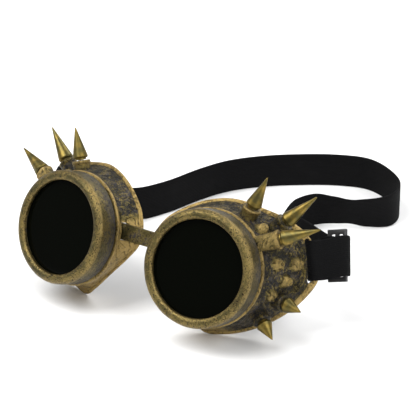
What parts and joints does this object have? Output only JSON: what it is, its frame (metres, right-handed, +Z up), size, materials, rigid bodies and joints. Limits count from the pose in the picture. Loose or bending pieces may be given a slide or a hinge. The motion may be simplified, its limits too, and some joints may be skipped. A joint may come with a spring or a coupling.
{
  "type": "welding goggles",
  "caption": "Round-eyed welding-style goggles with screw-on bezels over dark lenses, flared side cups carrying screwed spikes, a moulded bridge and an adjustable elastic head strap.",
  "frame": {"origin": "on the table, under the middle of the whole model's box", "axes": "+Z up, lenses facing -Y, +X towards the wearer's left"},
  "size_m": [0.1878, 0.2272, 0.0816],
  "materials": {
    "aged_shell": "dark hammered plastic, dry-brushed with brass paint",
    "antique_brass": "satin antique brass with dark patina in the corners",
    "spike_brass": "satin antique brass",
    "dark_glass": "nearly black welding shade, polished",
    "gasket_rubber": "matt",
    "screw_steel": "plated",
    "elastic_webbing": "black knitted elastic",
    "black_plastic": "satin black"
  },
  "bodies": {
    "frame": {"left_cup": "aged_shell", "left_brow_spike": "spike_brass", "left_brow_spike_screw": "screw_steel", "left_corner_spike": "spike_brass", "left_corner_spike_screw": "screw_steel", "left_temple_spike": "spike_brass", "left_temple_spike_screw": "screw_steel", "left_cheek_spike_rear": "spike_brass", "left_cheek_spike_rear_screw": "screw_steel", "left_cheek_spike_front": "spike_brass", "left_cheek_spike_front_screw": "screw_steel", "right_cup": "aged_shell", "right_brow_spike": "spike_brass", "right_brow_spike_screw": "screw_steel", "right_corner_spike": "spike_brass", "right_corner_spike_screw": "screw_steel", "right_temple_spike": "spike_brass", "right_temple_spike_screw": "screw_steel", "right_cheek_spike_rear": "spike_brass", "right_cheek_spike_rear_screw": "screw_steel", "right_cheek_spike_front": "spike_brass", "right_cheek_spike_front_screw": "screw_steel", "bridge": "antique_brass", "strap": "elastic_webbing"},
    "left_lens_pack": {"left_lens": "dark_glass", "left_gasket": "gasket_rubber"},
    "left_bezel": {"left_bezel": "antique_brass"},
    "right_lens_pack": {"right_lens": "dark_glass", "right_gasket": "gasket_rubber"},
    "right_bezel": {"right_bezel": "antique_brass"},
    "slider": {"strap_slider": "black_plastic"}
  },
  "joints": [
    {"name": "left_lens_travel", "type": "slide", "parent": "frame", "child": "left_lens_pack", "axis": [0.1219, -0.9266, 0.3557], "range_m": [0, 0.0044]},
    {"name": "left_bezel_turn", "type": "hinge", "parent": "left_lens_pack", "child": "left_bezel", "pos_m": [0.03964, -0.10057, 0.04224], "axis": [0.1219, -0.9266, 0.3557], "range_deg": [0, 792]},
    {"name": "right_lens_travel", "type": "slide", "parent": "frame", "child": "right_lens_pack", "axis": [-0.1219, -0.9266, 0.3557], "range_m": [0, 0.0044]},
    {"name": "right_bezel_turn", "type": "hinge", "parent": "right_lens_pack", "child": "right_bezel", "pos_m": [-0.04475, -0.10057, 0.04224], "axis": [-0.1219, -0.9266, 0.3557], "range_deg": [0, 792]},
    {"name": "slider_travel", "type": "slide", "parent": "frame", "child": "slider", "axis": [0.6618, 0.7375, -0.1346], "range_m": [-0.006, 0.012], "deforming": ["strap"]}
  ],
  "couplings": [
    {"joint": "left_lens_travel", "follows": "left_bezel_turn", "m_per_rad": 0.00031831},
    {"joint": "right_lens_travel", "follows": "right_bezel_turn", "m_per_rad": 0.00031831}
  ]
}
